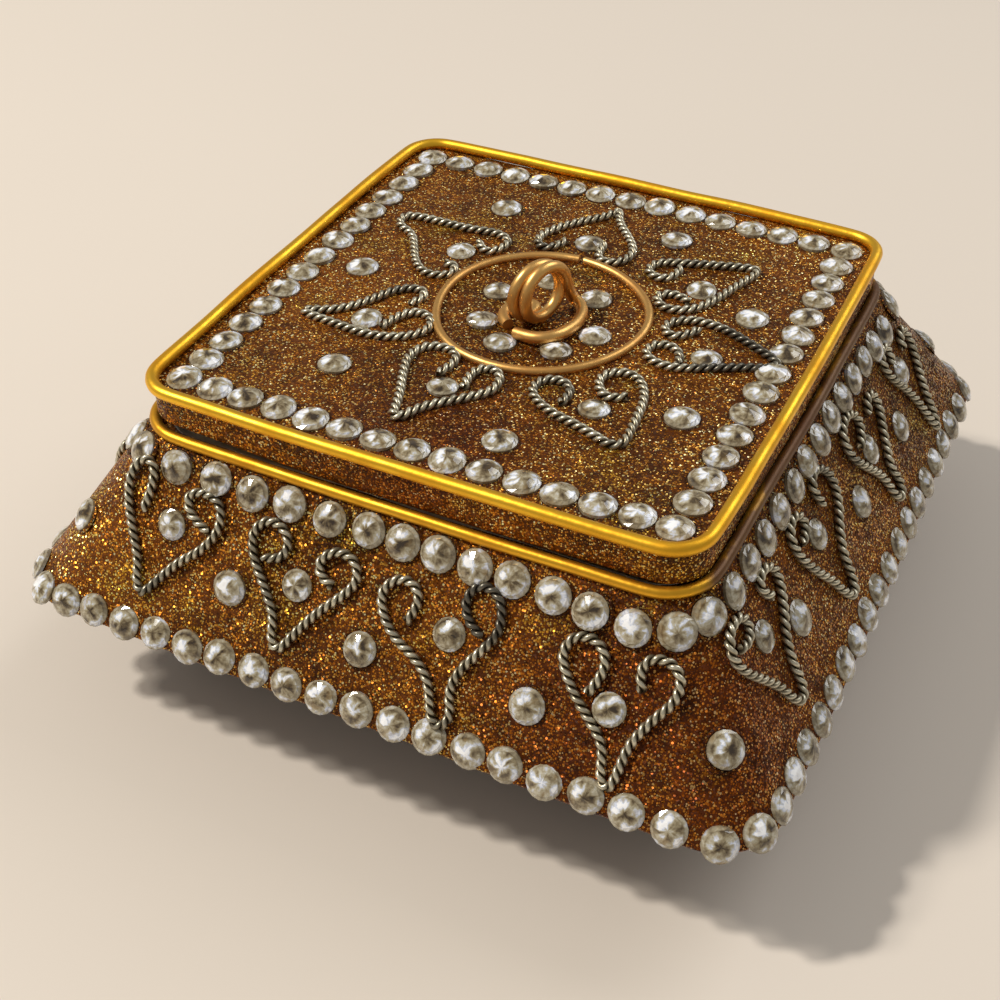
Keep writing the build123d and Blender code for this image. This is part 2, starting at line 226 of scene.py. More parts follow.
glass = {
    "stops": ((0.0, (0.035, 0.020, 0.007)), (0.18, (0.12, 0.082, 0.036)), (0.42, (0.31, 0.25, 0.145)),
              (0.64, (0.52, 0.475, 0.35)), (0.80, (0.66, 0.71, 0.84)), (0.95, (1.0, 1.0, 1.0))),
    "rays": 15.0, "rings": 2.5, "cloud": 560.0, "light": -1.24, "girdle": 0.80,
    "rim": (0.42, 0.37, 0.27), "lacShowing": (0.26, 0.15, 0.035), "outline": (0.085, 0.055, 0.026)}


# the stone is drawn opaque, and its colour is painted light: the painted reflections, glints, glow and
# blue-white and white highlights of a clear stone, with the lac painted as showing through it
def clearStone(name):
    # in the UV map "rays", U runs round the stone and V from its middle to its edge
    w, b = glass, Bench(name)
    tone = b.put("Attribute", {"attribute_name": "tone"}, {}, "Fac")
    rays = b.put("UVMap", {"uv_map": "rays"}, {}, "UV")
    around = b.put("SeparateXYZ", {}, {"Vector": rays}, "X")
    reach = b.put("SeparateXYZ", {}, {"Vector": rays}, "Y")
    fan = b.put("CombineXYZ", {}, {"X": around * w["rays"], "Y": reach * w["rings"]})
    streak = b.put("TexNoise", {}, {"Vector": fan, "Scale": 1.0, "Detail": 3.0, "Roughness": 0.6})
    cloud = b.grains(w["cloud"], Detail=3.0, Roughness=0.6)
    colour = b.ramp(tone + streak * 0.9 + cloud * 1.5 + w["light"], w["stops"])
    colour = b.blend(b.ranged(reach, w["girdle"], 0.90, 0.0, 0.22), colour, w["rim"])
    showing = b.ranged(b.grains(800.0), 0.58, 0.68, 0.0, 0.55)
    colour = b.blend(showing * reach, colour, w["lacShowing"])
    # painted shade: dark lines at the girdle step and round the stone's edge
    step = b.put("Math", {"operation": "ABSOLUTE"}, {0: reach - w["girdle"]})
    dark = b.larger(b.ranged(step, 0.0, 0.045, 0.32, 0.0), b.ranged(reach, 0.93, 1.02, 0.0, 0.4))
    colour = b.blend(dark, colour, w["outline"])
    return b.finish(Base_Color=colour, Roughness=0.10, Coat_Weight=0.8, Coat_Roughness=0.04)


sheet = {"dark": (0.50, 0.49, 0.46), "light": (0.68, 0.67, 0.64)}


def sheetMetal(name):
    b = Bench(name)
    lines = b.grains(300.0, Detail=5.0, Roughness=0.7)
    colour = b.blend(lines, sheet["dark"], sheet["light"])
    return b.finish(Base_Color=colour, Metallic=0.9, Roughness=0.30 + lines * 0.15)


paint = {
    "wallLac": glitterLac("wallGlitter", 1.02, 0.34),
    "lidLac": glitterLac("lidGlitter", 1.1, 0.36, (0.0, -0.030, 0.042), 0.016),
    "plainLac": plainLac("plainLac"),
    # the collars' glitter is a darker copy of the wall's: painted shade, the dark outline round each stone
    "collarLacPaintedShade": glitterLac("collarGlitterPaintedShade", 0.6, 0.3),
    "gilt": giltWire("giltWire", (0.98, 0.56, 0.04), (0.78, 0.38, 0.02), 0.38),
    # the mouth wire is a darker, more orange copy of the gilt, with painted shade past its X of 0.0338
    "mouthGilt": giltWire("mouthGilt", (0.90, 0.48, 0.035), (0.66, 0.30, 0.02), 0.36, 0.0338),
    "copper": giltWire("copperWire", (0.85, 0.50, 0.16), (0.60, 0.30, 0.085), 0.36),
    "twisted": twistedSilver("twistedSilver"),
    "stone": clearStone("clearStone"),
    "metal": sheetMetal("sheetMetal")}
print("finishes ready")


# putting a piece on its body
def place(name, mesh, finish, body, replaced=(), smooth=True):
    piece = bpy.data.objects.new(name, mesh)
    bpy.context.scene.collection.objects.link(piece)
    mesh.materials.clear()
    mesh.materials.append(paint[finish])
    for polygon in mesh.polygons:
        polygon.use_smooth = smooth
    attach(piece, body)
    if replaced:
        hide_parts(*replaced)
    return piece


def toMesh(bm, name):
    mesh = bpy.data.meshes.new(name)
    bm.to_mesh(mesh)
    bm.free()
    return mesh


# the flared body's surface, in millimetres
# foot, edge and rim are each a height, half the width there and the corner's radius
flare = {"foot": (0.0, 34.5, 6.0), "edge": (15.2, 49.2, 7.8), "lip": 0.8, "rim": (36.2, 36.0, 6.3),
         "bow": 0.3, "bowLoss": 0.55}
lipZ = flare["edge"][0] + flare["lip"]
slope = math.atan2(flare["rim"][0] - lipZ, flare["edge"][1] - flare["rim"][1])


def wallSize(z):
    share = (z - lipZ) / (flare["rim"][0] - lipZ)
    half = flare["edge"][1] + (flare["rim"][1] - flare["edge"][1]) * share
    corner = flare["edge"][2] + (flare["rim"][2] - flare["edge"][2]) * share
    return half, corner, flare["bow"] * (1 - flare["bowLoss"] * share)


def bowed(x, y, half, corner, bow):
    # handmade sides stand out a little in the middle
    fx = max(-1, min(1, x / (half - corner)))
    fy = max(-1, min(1, y / (half - corner)))
    return x - bow * fx * abs(fx) * fy * fy, y - bow * fy * abs(fy) * fx * fx


def wallPoint(side, x, turn, z):
    # x is along the side; turn, in degrees, takes its place round the corner at its right end
    half, corner, bow = wallSize(z)
    flat = half - corner
    if turn is None:
        px, py = x, -half
    else:
        angle = math.radians(turn - 90)
        px, py = flat + corner * math.cos(angle), -flat + corner * math.sin(angle)
    px, py = bowed(px, py, half, corner, bow)
    return Matrix.Rotation(math.radians(90 * side), 3, "Z") @ Vector((px, py, z))


def wallPlace(side, x, turn, up, lift=0.0):
    # a placing matrix on the wall: X along it, Y up its slope, Z out of it
    z = lipZ + up * math.sin(slope)
    high, low = wallSize(z + 0.5), wallSize(z - 0.5)
    narrowing = ((high[0] - high[1]) / (low[0] - low[1])) ** 0.5
    spot = wallPoint(side, x, turn, z)
    if turn is None:
        upward = wallPoint(side, x * narrowing, None, z + 0.5)
        upward -= wallPoint(side, x / narrowing, None, z - 0.5)
        along = wallPoint(side, x + 0.4, None, z) - wallPoint(side, x - 0.4, None, z)
    else:
        upward = wallPoint(side, 0, turn, z + 0.5) - wallPoint(side, 0, turn, z - 0.5)
        along = wallPoint(side, 0, turn + 4.0, z) - wallPoint(side, 0, turn - 4.0, z)
    out = along.cross(upward).normalized()
    along.normalize()
    stance = Matrix.Identity(4)
    for i, axis in enumerate((along, out.cross(along), out)):
        stance.col[i] = (*axis, 0)
    stance.translation = (spot + out * lift) * mm
    return stance


# lac coats, each drawn from one starting plate
plate = {"half": 40.0, "corner": 8.0, "cuts": 23, "bend": 10}


def newVerts(made):
    return [g for g in made["geom"] if isinstance(g, bmesh.types.BMVert)]


def newRing(made, verts):
    # the edges that join the new points, and not those that lead to them
    return [g for g in made["geom"] if isinstance(g, bmesh.types.BMEdge) and all(v in verts for v in g.verts)]


def reshape(verts, home, z, half, corner, bow):
    # carries a ring of points from the starting plate to one level's size
    flat = plate["half"] - plate["corner"]
    for v in verts:
        x, y = v[home].x / mm, v[home].y / mm
        fx, fy = max(-1, min(1, x / flat)), max(-1, min(1, y / flat))
        nx = fx * (half - corner) + (x - fx * flat) / plate["corner"] * corner
        ny = fy * (half - corner) + (y - fy * flat) / plate["corner"] * corner
        nx, ny = bowed(nx, ny, half, corner, bow)
        v.co = (nx * mm, ny * mm, z * mm)


def coat(name, levels, capFirst=False, capLast=False):
    # a rounded square is drawn through the levels, each one (z, half width, corner, bow)
    bm = bmesh.new()
    home = bm.verts.layers.float_vector.new("home")
    made = bmesh.ops.create_grid(bm, x_segments=1, y_segments=1, size=plate["half"] * mm)
    bmesh.ops.bevel(bm, geom=made["verts"], offset=plate["corner"] * mm, segments=plate["bend"], profile=0.5,
                    affect="VERTICES", material=-1)
    longSides = [e for e in bm.edges if e.calc_length() > plate["corner"] * mm]
    bmesh.ops.subdivide_edges(bm, edges=longSides, cuts=plate["cuts"])
    for v in bm.verts:
        v[home] = v.co
    if not capFirst:
        bmesh.ops.delete(bm, geom=list(bm.faces), context="FACES_ONLY")
    firstEdges = ring = list(bm.edges)
    reshape(bm.verts, home, *levels[0])
    for level in levels[1:]:
        made = bmesh.ops.extrude_edge_only(bm, edges=ring)
        verts = set(newVerts(made))
        ring = newRing(made, verts)
        reshape(verts, home, *level)
    if capLast:
        bmesh.ops.holes_fill(bm, edges=ring)
    elif not capFirst:
        bmesh.ops.bridge_loops(bm, edges=firstEdges + ring)
    bmesh.ops.recalc_face_normals(bm, faces=bm.faces)
    return toMesh(bm, name)


def between(levels, samples):
    # more levels, evenly spaced from each given one to the next
    full = []
    for low, high in zip(levels, levels[1:]):
        full += [tuple(a + (b - a) * i / samples for a, b in zip(low, high)) for i in range(samples)]
    return full + [levels[-1]]


def waver(mesh, depth, size, seed):
    # the slight unevenness of lac pressed on by hand
    mesh.update()
    shift = Vector((seed, seed, seed))
    pushes = [v.normal * noise.noise(v.co * size + shift) * depth * mm for v in mesh.vertices]
    for v, push in zip(mesh.vertices, pushes):
        v.co += push


rimZ, rimHalf, rimCorner = flare["rim"]
edgeZ, edgeHalf, edgeCorner = flare["edge"]
bow, rimBow = flare["bow"], flare["bow"] * (1 - flare["bowLoss"])

wallCoat = {"inner": 2.2, "round": 0.45, "innerRows": 2, "outerRows": 12, "waver": (0.14, 90, 3.0)}
inner, rounding = wallCoat["inner"], wallCoat["round"]
levels = between([(edgeZ + 0.02, edgeHalf - inner, edgeCorner - 1.3, bow),
                  (rimZ - 0.05, rimHalf - inner, rimCorner - 1.3, rimBow)], wallCoat["innerRows"])
levels += [(rimZ, rimHalf - inner + rounding, rimCorner - 1.0, rimBow),
           (rimZ, rimHalf - rounding, rimCorner - 0.3, rimBow)]
levels += between([(rimZ - rounding * 0.6, rimHalf + 0.02, rimCorner, rimBow),
                   (lipZ + 0.35, edgeHalf - 0.25, edgeCorner, bow)], wallCoat["outerRows"])
levels += [(lipZ, edgeHalf - 0.35, edgeCorner, bow), (lipZ - 0.3, edgeHalf - 0.8, edgeCorner, bow),
           (edgeZ + 0.02, edgeHalf - 1.6, edgeCorner, bow)]      # the lip tucks in under the stones
mesh = coat("wallCoat", levels)
waver(mesh, *wallCoat["waver"])
place("wallCoat", mesh, "wallLac", "box", ("wall_lac",))

trayCoat = {"floor": 1.6, "skin": 0.6, "seam": 2.4, "under": 1.8, "foot": 0.5, "bow": 0.2, "rows": 10}
footHalf, footCorner = flare["foot"][1:]
t = trayCoat
levels = [(t["floor"], footHalf - t["skin"], footCorner - t["skin"], 0.0),
          (edgeZ - 0.02, edgeHalf - t["seam"], edgeCorner - 1.4, bow),
          (edgeZ, edgeHalf - 2.0, edgeCorner, bow)]
levels += between([(edgeZ - 0.3, edgeHalf - t["under"], edgeCorner, bow),
                   (t["foot"], footHalf + 0.35, footCorner, t["bow"])], t["rows"])
levels += [(0.0, footHalf - 0.2, footCorner, t["bow"])]
place("trayCoat", coat("trayCoat", levels, True, True), "plainLac", "box", ("tray_lac",))

# the lid's skirt stands off the mouth at its left front corner, by the gape
lidCoat = {"base": 37.42, "top": 41.9, "half": 35.1, "corner": 5.0, "bow": 0.3, "pocket": 33.4,
           "ceiling": 39.4, "topRows": 18, "sideRows": 4, "waver": (0.1, 110, 8.0), "gape": 0.9,
           "gapeHeight": 1.6, "gapeFrom": 8, "gapeRun": 24, "gapeSide": -30}
c = lidCoat
levels = between([(c["top"], 1.0, 0.4, 0.0), (c["top"], c["half"] - 1.2, c["corner"] - 0.8, c["bow"])],
                 c["topRows"])
levels += [(c["top"] - 0.12, c["half"] - 0.5, c["corner"] - 0.3, c["bow"]),
           (c["top"] - 0.45, c["half"] - 0.1, c["corner"], c["bow"])]
levels += between([(c["top"] - 0.6, c["half"] - 0.05, c["corner"], c["bow"]),
                   (c["base"] + 0.35, c["half"] - 0.02, c["corner"], c["bow"])], c["sideRows"])
levels += [(c["base"], c["half"] - 0.3, c["corner"], c["bow"]),
           (c["base"] + 0.5, c["pocket"], c["corner"] - 1.4, c["bow"]),
           (c["ceiling"], c["pocket"], c["corner"] - 1.4, c["bow"])]
mesh = coat("lidCoat", levels, True, True)
gapeTop = c["base"] + c["gapeHeight"]
for v in mesh.vertices:
    if v.co.z < gapeTop * mm and v.co.y < c["gapeSide"] * mm:
        left = max(0, min(1, (-v.co.x / mm - c["gapeFrom"]) / c["gapeRun"]))
        v.co.z += c["gape"] * mm * left * left * (gapeTop - v.co.z / mm) / c["gapeHeight"]
waver(mesh, *c["waver"])
place("lidCoat", mesh, "lidLac", "lid", ("lid_lac",))
print("lac coats made")


# stones: a flat back, a thin girdle, two rings of facets and a low point, on a radius of 1
# a step is its height, its radius, and whether it is turned by half a side
stone = {
    "sides": 16, "steps": ((0.20, 1.0, False), (0.15, 0.80, True), (0.15, 0.42, False)), "point": 0.06,
    "sizes": (0.955, 1.0), "turn": 6.28, "tilt": 7, "shift": 0.15, "sink": 0.12, "wedges": 8}


def stoneShape():
    bm = bmesh.new()
    bmesh.ops.create_circle(bm, cap_ends=True, radius=1.0, segments=stone["sides"])
    for lift, size, turned in stone["steps"]:
        top = max(bm.faces, key=lambda f: f.calc_center_median().z)
        verts = newVerts(bmesh.ops.extrude_face_region(bm, geom=[top]))
        bmesh.ops.translate(bm, verts=verts, vec=(0, 0, lift))
        wide = max(v.co.xy.length for v in verts)
        bmesh.ops.scale(bm, verts=verts, vec=(size / wide, size / wide, 1))
        if turned:
            halfSide = Matrix.Rotation(math.pi / stone["sides"], 3, "Z")
            bmesh.ops.rotate(bm, verts=verts, cent=(0, 0, 0), matrix=halfSide)
    top = max(bm.faces, key=lambda f: f.calc_center_median().z)
    bmesh.ops.poke(bm, faces=[top], offset=stone["point"])
    bmesh.ops.recalc_face_normals(bm, faces=bm.faces)
    return toMesh(bm, "stoneShape")


stoneCut = stoneShape()
lampWay = Vector((-0.547, -0.251, 0.798))      # the main lamp's direction, which the facets' painted light follows

# the painted light on a facet: how bright it is, by how far out it stands and whether it faces the lamp
facets = {
    "edge": (0.42, 0.72), "edgeFrom": 0.90, "outerFrom": 0.55, "pointTo": 0.1,
    "point": (0.05, 0.15, 0.45, 1.1), "glint": (0.7, 0.95, 1.2), "glintFrom": 0.5, "wedge": (0.05, 0.95),
    "outer": 0.60, "outerLeast": 0.18, "farGlow": 0.32, "outerSpread": 0.2,
    "inner": 0.65, "innerLeast": 0.05, "innerSpread": 0.15, "patterns": 200}


def facetPaintedLight(reach, turned, wedges):
    # painted light: a painted glow on the far side of a clear stone, away from the main lamp, and painted
    # glints on the side towards it
    t, facing = facets, math.cos(turned)
    number = int((turned / math.tau + 0.5) * len(wedges)) % len(wedges)
    if reach > t["edgeFrom"]:
        return dice.uniform(*t["edge"])
    if reach < t["pointTo"]:
        return dice.choice(t["point"])
    if reach > t["outerFrom"]:
        glow = wedges[number] * t["outer"] + t["outerLeast"] + t["farGlow"] * max(0, -facing)
        return glow + dice.uniform(-t["outerSpread"], t["outerSpread"])
    if facing > t["glintFrom"]:
        return dice.choice(t["glint"])
    glow = wedges[(number + 2) % len(wedges)] * t["inner"] + t["innerLeast"]
    return glow + dice.uniform(-t["innerSpread"], t["innerSpread"])


def setStones(name, spots, diameter, body, node, sink=stone["sink"]):
    bm = bmesh.new()
    paintedLightLayer = bm.loops.layers.float_color.new("tone")
    rays = bm.loops.layers.uv.new("rays")
    for spot in spots:
        known, knownFaces = len(bm.verts), len(bm.faces)
        bm.from_mesh(stoneCut)
        bm.verts.ensure_lookup_table()
        bm.faces.ensure_lookup_table()
        size = diameter / 2 * dice.uniform(*stone["sizes"]) * mm
        turn = Matrix.Rotation(dice.uniform(0, stone["turn"]), 4, "Z")
        tilt = Matrix.Rotation(math.radians(dice.uniform(-stone["tilt"], stone["tilt"])), 4, "X")
        aside = [dice.uniform(-stone["shift"], stone["shift"]) * mm for _ in range(2)]
        shift = Matrix.Translation((*aside, -sink * mm))
        settled = spot @ shift @ tilt
        bmesh.ops.transform(bm, verts=bm.verts[known:], matrix=settled @ turn @ Matrix.Scale(size, 4))
        wedges = [dice.uniform(*facets["wedge"]) for _ in range(stone["wedges"])]
        axisX, axisY = settled.col[0].to_3d(), settled.col[1].to_3d()
        lampTurn = math.atan2(lampWay.dot(axisY), lampWay.dot(axisX))
        pattern = dice.randrange(facets["patterns"])
        # neighbouring facets share the painted light of the point between them
        # the operators don't order the facets the same way each run, and the draws follow that order
        paintedLightAt = {}
        for face in bm.faces[knownFaces:]:
            away = face.calc_center_median() - settled.translation
            middle = math.atan2(away.dot(axisY), away.dot(axisX))
            for loop in face.loops:
                away = loop.vert.co - settled.translation
                x, y = away.dot(axisX) / size, away.dot(axisY) / size
                angle = math.atan2(y, x) if math.hypot(x, y) > 0.05 else middle
                angle = middle + (angle - middle + math.pi) % math.tau - math.pi
                reach = math.hypot(x, y)
                loop[rays].uv = (angle / math.tau + pattern, reach)
                if loop.vert not in paintedLightAt:
                    turned = (angle - lampTurn + math.pi) % math.tau - math.pi
                    paintedLightAt[loop.vert] = facetPaintedLight(reach, turned, wedges)
                tone = paintedLightAt[loop.vert]
                loop[paintedLightLayer] = (tone, tone, tone, 1)
    return place(name, toMesh(bm, name), "stone", body, (node,), smooth=False)


# the low bank of lac that the stone was pressed into, in the darker collar lac, which paints the shade round
# each stone
collar = {"sides": 14, "foot": 1.17, "steps": ((0.06, 1.10), (0.05, 1.03), (-0.04, 0.96)), "sunk": 0.05,
          "sizes": (0.96, 1.03), "stretch": (0.97, 1.06)}


def collarShape():
    bm = bmesh.new()
    bmesh.ops.create_circle(bm, radius=collar["foot"], segments=collar["sides"])
    edges = list(bm.edges)
    for lift, size in collar["steps"]:
        made = bmesh.ops.extrude_edge_only(bm, edges=edges)
        verts = newVerts(made)
        edges = newRing(made, verts)
        wide = verts[0].co.xy.length
        bmesh.ops.translate(bm, verts=verts, vec=(0, 0, lift))
        bmesh.ops.scale(bm, verts=verts, vec=(size / wide, size / wide, 1))
    bmesh.ops.recalc_face_normals(bm, faces=bm.faces)
    return toMesh(bm, "collarShape")


collarCut = collarShape()


def setCollars(name, spots, body):
    bm = bmesh.new()
    for spot, diameter in spots:
        known = len(bm.verts)
        bm.from_mesh(collarCut)
        bm.verts.ensure_lookup_table()
        size = diameter / 2 * dice.uniform(*collar["sizes"]) * mm
        turn = Matrix.Rotation(dice.uniform(0, stone["turn"]), 4, "Z")
        turn = turn @ Matrix.Diagonal((dice.uniform(*collar["stretch"]), 1, 1, 1))
        settled = spot @ turn @ Matrix.Scale(size, 4) @ Matrix.Translation((0, 0, -collar["sunk"]))
        bmesh.ops.transform(bm, verts=bm.verts[known:], matrix=settled)
    return place(name, toMesh(bm, name), "collarLacPaintedShade", body)


# a place on the wall is how far along its side and how far up its slope
rows = {"size": 4.3, "heartStone": 3.9, "cornerUp": (9.8, 10.6, 11.0, 11.0),
        "bottomUp": 1.75, "bottomEach": 20, "bottomDrop": 0.7, "bottomShift": -0.28, "bottomSink": 0.32,
        "topUp": 21.8, "topDip": 0.065, "topDipFrom": 12, "topCorner": ((25, 21.2), (58, 22.0)),
        "topFront": (-28.6, -23.1, -17.8, -13.0, -7.5, -2.5, 1.8, 6.3, 10.8, 15.4, 20.2, 24.6, 29.6),
        "topRight": (-29.3, -24.2, -19.3, -14.5, -9.3, -4.6, 0.2, 5.0, 9.7, 14.3, 19.0, 23.4, 27.9),
        "fieldFront": ((-18.1, 10.2), (-0.3, 8.7), (20.4, 9.0)),
        "fieldRight": ((-21.0, 11.8), (2.1, 11.0), (20.0, 10.6)),
        "heartFront": ((-27.7, 15.0), (-9.8, 13.2), (9.7, 13.6), (29.3, 11.5)),
        "heartRight": ((-28.5, 15.2), (-10.0, 15.2), (10.0, 13.8), (27.2, 15.0))}


def topRow(side, spots):
    # the row dips towards one end, and two stones of it stand on the corner
    dips = [rows["topDip"] * max(0, x - rows["topDipFrom"]) for x in spots]
    places = [wallPlace(side, x, None, rows["topUp"] - dip) for x, dip in zip(spots, dips)]
    return places + [wallPlace(side, 0, turn, up) for turn, up in rows["topCorner"]]


def bottomRow(side):
    # the row runs on round the corners and sinks a little there, and along the flat it stands aside
    up, each = rows["bottomUp"], rows["bottomEach"]
    half, corner, _ = wallSize(lipZ + up * math.sin(slope))
    flat, bend = half - corner, corner * math.pi / 4
    places = []
    for i in range(each):
        share = (i + 0.5) / each * 2 - 1      # from -1 at one corner to 1 at the next
        run = (share + 2 * rows["bottomShift"] / each * (1 - share ** 6)) * (flat + bend)
        rise = -rows["bottomDrop"] * share ** 6
        if abs(run) < flat:
            places.append(wallPlace(side, run, None, up + rise))
        elif run > 0:
            places.append(wallPlace(side, 0, math.degrees((run - flat) / corner), up + rise))
        else:
            places.append(wallPlace((side - 1) % 4, 0, 90 - math.degrees((-run - flat) / corner), up + rise))
    return places


wallCollars = []
for side, wall in enumerate(walls):
    kind = ("Front", "Right")[side % 2]
    heartSpots = [wallPlace(side, x, None, up) for x, up in rows["heart" + kind]]
    fieldSpots = [wallPlace(side, x, None, up) for x, up in rows["field" + kind]]
    groups = {
        "TopStones": (topRow(side, rows["top" + kind]), rows["size"], "_top_stones", stone["sink"]),
        "BottomStones": (bottomRow(side), rows["size"], "_bottom_stones", rows["bottomSink"]),
        "HeartStones": (heartSpots, rows["heartStone"], "_heart_stones", stone["sink"]),
        "FieldStones": (fieldSpots, rows["size"], "_field_stones", stone["sink"])}
    for label, (spots, size, node, sink) in groups.items():
        setStones(wall + label, spots, size, "box", wall + node, sink)
        if label != "BottomStones":
            wallCollars += [(spot, size) for spot in spots]
spots = [wallPlace(side, 0, 45, up) for side, up in enumerate(rows["cornerUp"])]
setStones("cornerStones", spots, rows["size"], "box", "corner_stones")
wallCollars += [(spot, rows["size"]) for spot in spots]
setCollars("wallCollars", wallCollars, "box")

lidStones = {"border": 31.0, "perSide": 14, "size": 4.3, "heartStone": 3.9, "innerSize": 4.1,
             "field": ((-14.5, 22.0), (9.6, 23.9), (24.8, 10.0), (24.4, -12.8), (7.9, -25.4), (-16.6, -20.4),
                       (-24.6, 0.0)),
             "hearts": ((-0.5, 18.0), (16.9, 13.5), (22.8, -0.3), (14.9, -15.4), (-2.6, -19.0),
                        (-17.9, -10.4), (-14.9, 9.1)),
             "inner": ((6.0, 5.9), (9.0, -1.8), (6.0, -6.6), (-0.7, -7.9), (-4.8, -4.4), (-6.0, 2.4),
                       (-0.8, 7.4))}
lidTop = lidCoat["top"]


def lidPlace(x, y, turn=0.0, lift=0.0):
    half, corner = lidCoat["half"], lidCoat["corner"]
    bx, by = bowed(x, y, half, corner, lidCoat["bow"])
    spot = Matrix.Translation((bx * mm, by * mm, (lidTop + lift) * mm))
    return spot @ Matrix.Rotation(math.radians(turn), 4, "Z")


borderHalf = lidStones["border"]
pitch = 2 * borderHalf / lidStones["perSide"]
borderSpots = []
for side in range(4):
    turned = Matrix.Rotation(math.radians(90 * side), 3, "Z")
    for i in range(lidStones["perSide"]):
        spot = turned @ Vector((i * pitch - borderHalf, -borderHalf, 0))
        borderSpots.append(lidPlace(spot.x, spot.y, 90 * side))
heartSpots = [lidPlace(x, y) for x, y in lidStones["hearts"]]
fieldSpots = [lidPlace(x, y) for x, y in lidStones["field"]]
innerSpots = [lidPlace(x, y) for x, y in lidStones["inner"]]
lidCollars = []
for name, spots, size, node in (
        ("lidBorderStones", borderSpots, lidStones["size"], "lid_border_stones"),
        ("lidHeartStones", heartSpots, lidStones["heartStone"], "lid_heart_stones"),
        ("lidFieldStones", fieldSpots, lidStones["size"], "lid_field_stones"),
        ("lidRingStones", innerSpots, lidStones["innerSize"], "lid_ring_stones")):
    lidCollars += [(spot, size) for spot in spots]
    setStones(name, spots, size, "lid", node)
setCollars("lidCollars", lidCollars, "lid")
print("stones set")


# wires
def drawn(lines, depth, name, sides=3, closed=False, order=4):
    # a curve of one or more lines, made a mesh; depth 0 gives the bare line
    curve = bpy.data.curves.new(name, "CURVE")
    curve.dimensions = "3D"
    curve.bevel_depth, curve.bevel_resolution, curve.use_fill_caps = depth, sides, True
    for points in lines:
        spline = curve.splines.new("NURBS" if order > 2 else "POLY")
        spline.points.add(len(points) - 1)
        for point, spot in zip(spline.points, points):
            point.co = (*spot[:3], 1)
            point.radius = spot[3] if len(spot) > 3 else 1.0
        if order > 2:
            spline.order_u = order
            spline.use_endpoint_u = not closed
            spline.resolution_u = 8
        spline.use_cyclic_u = closed
    holder = bpy.data.objects.new(name, curve)
    bpy.context.scene.collection.objects.link(holder)
    bpy.context.view_layer.update()
    live = holder.evaluated_get(bpy.context.evaluated_depsgraph_get())
    mesh = bpy.data.meshes.new_from_object(live)
    bpy.data.objects.remove(holder)
    bpy.data.curves.remove(curve)
    return mesh


def evenly(points, gap):
    # the same line with points at even distances
    spots, rest = [points[0]], gap
    for a, b in zip(points, points[1:]):
        run = (b - a).length
        while run > rest:
            a = a + (b - a) * (rest / run)
            spots.append(a)
            run, rest = (b - a).length, gap
        rest -= run
    return spots + [points[-1]]


# hearts lie this far off the wall and the lid, and this much lower on the wall than their points say
twist = {"wire": 0.33, "offset": 0.29, "pitch": 2.2, "steps": 10, "offWall": 0.36, "offLid": 0.34,
         "lower": 0.3, "middleUp": 12.0}


def twistedHearts(name, hearts, body, node):
    # each heart is the points of its line and the way up from the lac; two plies wind about the line
    plies, centres = [], []
    for places, up in hearts:
        line = drawn([places], 0, "line", order=3)
        middle = evenly([v.co.copy() for v in line.vertices], twist["pitch"] * mm / twist["steps"])
        bpy.data.meshes.remove(line)
        centres += middle
        phase = dice.uniform(0, math.tau)
        for ply in (0, math.pi):
            points = []
            for i, centre in enumerate(middle):
                ahead = middle[min(i + 1, len(middle) - 1)] - middle[max(i - 1, 0)]
                side = ahead.cross(up).normalized()
                angle = phase + ply + math.tau * i / twist["steps"]
                points.append(centre + (side * math.cos(angle) + up * math.sin(angle)) * twist["offset"] * mm)
            plies.append(points)
    mesh = drawn(plies, twist["wire"] * mm, name, sides=1, order=2)
    tree = kdtree.KDTree(len(centres))
    for i, centre in enumerate(centres):
        tree.insert(centre, i)
    tree.balance()
    hollow = mesh.attributes.new("hollow", "FLOAT", "POINT")
    for v in mesh.vertices:
        hollow.data[v.index].value = tree.find(v.co)[2] / ((twist["wire"] + twist["offset"]) * mm)
    return place(name, mesh, "twisted", body, (node,))


